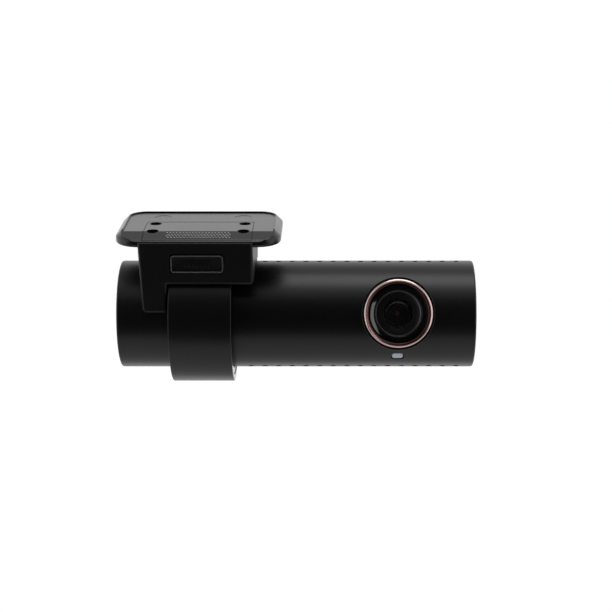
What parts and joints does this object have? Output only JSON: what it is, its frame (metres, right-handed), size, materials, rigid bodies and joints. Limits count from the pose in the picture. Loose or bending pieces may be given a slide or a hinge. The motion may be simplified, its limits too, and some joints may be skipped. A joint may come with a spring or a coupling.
{
  "type": "dash camera",
  "caption": "Cylindrical dash camera that slides and turns in a ring bracket under a windscreen plate, with a lock button, rear keys and a card door.",
  "frame": {"origin": "middle of the mount plate's top face, where it meets the windscreen", "axes": "+X along the camera towards its lens end, -Y the side that the lens faces, +Z the plate's normal"},
  "size_m": [0.1184, 0.0456, 0.0548],
  "materials": {
    "plate_black": "black moulded plastic, semi-gloss",
    "housing_black": "black moulded plastic, fine texture",
    "satin_black": "satin black soft-feel coating",
    "sleeve_black": "black moulded plastic",
    "cap_black": "black moulded plastic, fine texture",
    "barrel_black": "matte black baffle",
    "gloss_black": "gloss black",
    "rose_gold": "rose gold plated, polished",
    "lens_glass": "coated optical glass",
    "steel": "plain steel",
    "cast_aluminium": "cast",
    "circuit_board": "green solder resist",
    "chip": "black moulding compound",
    "thermal_pad": "soft silicone",
    "flex_amber": "polyimide film",
    "cell_sleeve": "shrink sleeve over a metal can",
    "ceramic": "fired ceramic",
    "light_pipe": "frosted clear light pipe",
    "smoke_window": "smoked window",
    "led_chip": "light-emitting diode package",
    "card_black": "memory card shell"
  },
  "bodies": {
    "bracket": {"mount_plate": "plate_black", "bracket_lid": "plate_black", "lid_screw_1": "steel", "lid_screw_2": "steel", "lid_screw_3": "steel", "lid_screw_4": "steel", "bracket_housing": "housing_black", "clamp_ring": "satin_black", "ring_screw_1": "steel", "ring_screw_2": "steel"},
    "lock": {"lock_button": "housing_black", "lock_pawl": "steel", "lock_spring": "steel"},
    "sleeve": {"grip_sleeve": "sleeve_black"},
    "camera": {"camera_shell": "satin_black", "left_cap": "cap_black", "right_cap": "cap_black", "trim_ring": "rose_gold", "lens_bezel": "gloss_black", "lens_barrel": "barrel_black", "front_element": "lens_glass", "rear_element": "lens_glass", "lens_holder": "chip", "sensor_board": "circuit_board", "image_sensor": "chip", "sensor_flex_cable": "flex_amber", "main_board": "circuit_board", "processor": "chip", "thermal_pad": "thermal_pad", "heat_sink": "cast_aluminium", "backup_cell_1": "cell_sleeve", "backup_cell_2": "cell_sleeve", "gps_antenna": "ceramic", "wifi_module": "steel", "microphone": "steel", "speaker": "chip", "card_socket": "steel", "dc_jack": "chip", "rear_camera_socket": "chip", "security_led_window": "light_pipe", "security_led": "led_chip", "status_window": "smoke_window", "status_led_strip": "led_chip", "wifi_switch": "chip", "format_switch": "chip", "board_sled": "cap_black", "board_screw_1": "steel", "board_screw_2": "steel", "board_screw_3": "steel", "board_screw_4": "steel"},
    "wifi_key": {"wifi_button": "housing_black"},
    "format_key": {"format_button": "housing_black"},
    "door": {"card_door": "cap_black"},
    "card": {"microsd_card": "card_black"}
  },
  "joints": [
    {"name": "lock_press", "type": "slide", "parent": "bracket", "child": "lock", "axis": [0, 1, 0], "range_m": [0, 0.0013], "stiffness_N_per_m": 800, "springref_m": -0.0008, "deforming": ["lock_spring"]},
    {"name": "tilt", "type": "hinge", "parent": "bracket", "child": "sleeve", "pos_m": [0, 0, -0.032], "axis": [1, 0, 0], "range_deg": [-60, 40]},
    {"name": "withdraw", "type": "slide", "parent": "sleeve", "child": "camera", "axis": [1, 0, 0], "range_m": [0, 0.056]},
    {"name": "wifi_press", "type": "slide", "parent": "camera", "child": "wifi_key", "axis": [0, -0.9563, 0.2924], "range_m": [0, 0.0006], "stiffness_N_per_m": 900, "springref_m": -0.0008},
    {"name": "format_press", "type": "slide", "parent": "camera", "child": "format_key", "axis": [0, -0.9563, 0.2924], "range_m": [0, 0.0006], "stiffness_N_per_m": 900, "springref_m": -0.0008},
    {"name": "card_door_hinge", "type": "hinge", "parent": "camera", "child": "door", "pos_m": [-0.02635, 0.00316, -0.03297], "axis": [0, 0.2924, 0.9563], "range_deg": [0, 90]},
    {"name": "card_push", "type": "slide", "parent": "camera", "child": "card", "axis": [1, 0, 0], "range_m": [0, 0.0007], "stiffness_N_per_m": 500, "springref_m": -0.0008}
  ]
}
